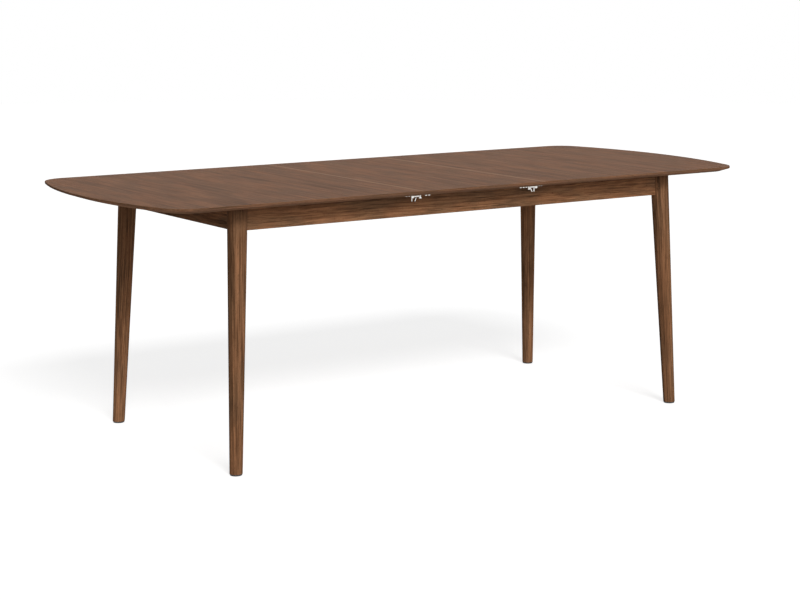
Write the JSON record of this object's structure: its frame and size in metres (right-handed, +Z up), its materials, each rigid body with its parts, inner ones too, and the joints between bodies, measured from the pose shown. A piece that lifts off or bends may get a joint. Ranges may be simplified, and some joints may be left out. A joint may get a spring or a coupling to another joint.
{
  "type": "butterfly leaf table",
  "caption": "Extending dining table with a folding butterfly leaf, sliding top halves, an under-bevelled rounded top, plain aprons and round tapered splayed legs.",
  "frame": {"origin": "centre of the footprint, on the floor", "axes": "+X along the table's length, +Y to its back, +Z up"},
  "size_m": [2.1138, 0.878, 0.75],
  "materials": {
    "walnut_top": "matt lacquered walnut, grain across the table",
    "walnut_frame": "matt lacquered walnut, grain along each piece",
    "beech": "planed, unstained",
    "pale_nylon": "smooth",
    "dark_nylon": "satin",
    "bright_nickel": "bright nickel plate",
    "zinc_steel": "bright zinc plate"
  },
  "bodies": {
    "frame": {"leg_front_left": "walnut_frame", "leg_front_right": "walnut_frame", "leg_back_left": "walnut_frame", "leg_back_right": "walnut_frame", "apron_front": "walnut_frame", "apron_back": "walnut_frame", "apron_left": "walnut_frame", "apron_right": "walnut_frame", "corner_block_front_left": "beech", "corner_block_front_right": "beech", "corner_block_back_left": "beech", "corner_block_back_right": "beech", "guide_rail_front": "beech", "guide_rail_back": "beech", "tie_rail_left": "beech", "tie_rail_right": "beech", "leaf_bearer_left": "beech", "leaf_bearer_right": "beech", "glide_strips": "pale_nylon", "end_glides": "pale_nylon", "slide_stops": "dark_nylon", "foot_glides": "dark_nylon", "leg_bolts": "zinc_steel", "leg_bolt_washers": "zinc_steel", "leg_bolt_nuts": "zinc_steel", "corner_block_screws": "zinc_steel", "rail_screws": "zinc_steel"},
    "left_half": {"top_left": "walnut_top", "runner_front_left": "beech", "runner_back_left": "beech", "runner_screws_left": "zinc_steel", "support_plates_left": "zinc_steel", "hook_plates_left": "bright_nickel", "hook_pins_left": "bright_nickel", "plate_screws_left": "bright_nickel"},
    "right_half": {"top_right": "walnut_top", "runner_front_right": "beech", "runner_back_right": "beech", "runner_screws_right": "zinc_steel", "support_plates_right": "zinc_steel", "hook_plates_right": "bright_nickel", "hook_pins_right": "bright_nickel", "plate_screws_right": "bright_nickel"},
    "front_wing": {"leaf_wing_front": "walnut_top", "leaf_hinges_front": "zinc_steel", "latch_keepers_front": "bright_nickel", "keeper_screws_front": "bright_nickel"},
    "back_wing": {"leaf_wing_back": "walnut_top", "leaf_hinges_back": "zinc_steel", "latch_keepers_back": "bright_nickel", "keeper_screws_back": "bright_nickel"},
    "hook_front_left": {"latch_hook_front_left": "bright_nickel"},
    "hook_front_right": {"latch_hook_front_right": "bright_nickel"},
    "hook_back_left": {"latch_hook_back_left": "bright_nickel"},
    "hook_back_right": {"latch_hook_back_right": "bright_nickel"}
  },
  "joints": [
    {"name": "left_half_slide", "type": "slide", "parent": "frame", "child": "left_half", "axis": [-1, 0, 0], "range_m": [0, 0.03]},
    {"name": "right_half_slide", "type": "slide", "parent": "frame", "child": "right_half", "axis": [1, 0, 0], "range_m": [0, 0.03]},
    {"name": "front_wing_fold", "type": "hinge", "parent": "frame", "child": "front_wing", "pos_m": [0, 0, 0.75], "axis": [-1, 0, 0], "range_deg": [0, 88]},
    {"name": "back_wing_fold", "type": "hinge", "parent": "frame", "child": "back_wing", "pos_m": [0, 0, 0.75], "axis": [1, 0, 0], "range_deg": [0, 88]},
    {"name": "hook_front_left_swing", "type": "hinge", "parent": "left_half", "child": "hook_front_left", "pos_m": [-0.2204, -0.391, 0.7296], "axis": [0, 0, -1], "range_deg": [-58, 12]},
    {"name": "hook_front_right_swing", "type": "hinge", "parent": "right_half", "child": "hook_front_right", "pos_m": [0.2204, -0.391, 0.7296], "axis": [0, 0, 1], "range_deg": [-58, 12]},
    {"name": "hook_back_left_swing", "type": "hinge", "parent": "left_half", "child": "hook_back_left", "pos_m": [-0.2204, 0.391, 0.7296], "axis": [0, 0, 1], "range_deg": [-58, 12]},
    {"name": "hook_back_right_swing", "type": "hinge", "parent": "right_half", "child": "hook_back_right", "pos_m": [0.2204, 0.391, 0.7296], "axis": [0, 0, -1], "range_deg": [-58, 12]}
  ]
}
